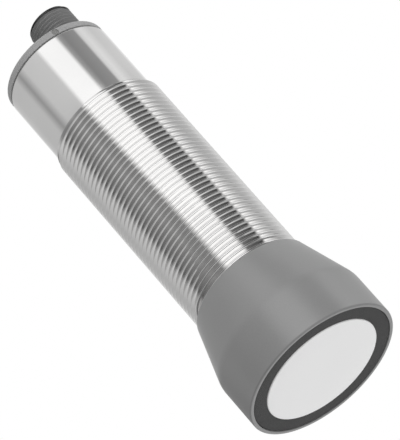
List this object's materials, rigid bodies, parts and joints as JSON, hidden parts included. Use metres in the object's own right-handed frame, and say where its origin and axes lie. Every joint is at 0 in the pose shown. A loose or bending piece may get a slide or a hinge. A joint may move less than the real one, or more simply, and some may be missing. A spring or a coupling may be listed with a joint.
{
  "type": "ultrasonic sensor",
  "caption": "Cylindrical ultrasonic distance sensor: threaded metal barrel with a wider moulded sensing head in front and a threaded plug connector, set off centre, behind.",
  "frame": {"origin": "centre of the sensing face, on which the sensor stands", "axes": "+Z along the barrel axis towards the connector, +X towards the side on which the connector sits"},
  "size_m": [0.04, 0.04, 0.1189],
  "materials": {
    "moulded_grey": "fine moulded texture",
    "white_resin": "smooth filled resin",
    "dark_foam": "fine closed cells",
    "piezo_ceramic": "silvered ceramic",
    "cast_resin": "cast",
    "nickel_brass": "bright nickel plate, turned",
    "sleeve_film": "smooth",
    "board_green": "solder resist",
    "ferrite": "pressed ferrite",
    "bobbin_plastic": "moulded",
    "copper_winding": "enamelled wire",
    "can_aluminium": "drawn can",
    "chip_black": "moulded epoxy",
    "chip_ceramic": "fired ceramic",
    "lamp_amber": "clear tinted",
    "clear_guide": "clear",
    "potting_resin": "cast",
    "cap_grey": "fine moulded texture",
    "connector_dark": "moulded, fine thread",
    "insert_black": "moulded",
    "gold_pin": "gold flash",
    "seal_rubber": "smooth",
    "red_wire": "insulation",
    "black_wire": "insulation",
    "brown_wire": "insulation",
    "white_wire": "insulation",
    "blue_wire": "insulation",
    "grey_wire": "insulation"
  },
  "bodies": {
    "root": {"head_housing": "moulded_grey", "matching_layer": "white_resin", "decoupling_ring": "dark_foam", "piezo_disc": "piezo_ceramic", "damping_puck": "cast_resin", "transducer_lead_1": "red_wire", "transducer_lead_2": "black_wire", "head_seal": "seal_rubber", "threaded_barrel": "nickel_brass", "insulating_sleeve": "sleeve_film", "circuit_board": "board_green", "transformer_core": "ferrite", "transformer_bobbin": "bobbin_plastic", "transformer_winding": "copper_winding", "storage_capacitor": "can_aluminium", "power_inductor": "ferrite", "microcontroller": "chip_black", "echo_amplifier": "chip_black", "output_transistors": "chip_black", "chip_parts": "chip_ceramic", "indicator_led_1": "lamp_amber", "indicator_led_2": "lamp_amber", "light_guide_1": "clear_guide", "light_guide_2": "clear_guide", "potting_plug": "potting_resin", "end_cap": "cap_grey", "cap_seal": "seal_rubber", "connector_shell": "connector_dark", "connector_seal": "seal_rubber", "connector_insert": "insert_black", "contact_pin_1": "gold_pin", "contact_pin_2": "gold_pin", "contact_pin_3": "gold_pin", "contact_pin_4": "gold_pin", "contact_pin_5": "gold_pin", "signal_wire_1": "brown_wire", "signal_wire_2": "white_wire", "signal_wire_3": "blue_wire", "signal_wire_4": "black_wire", "signal_wire_5": "grey_wire"}
  },
  "joints": []
}
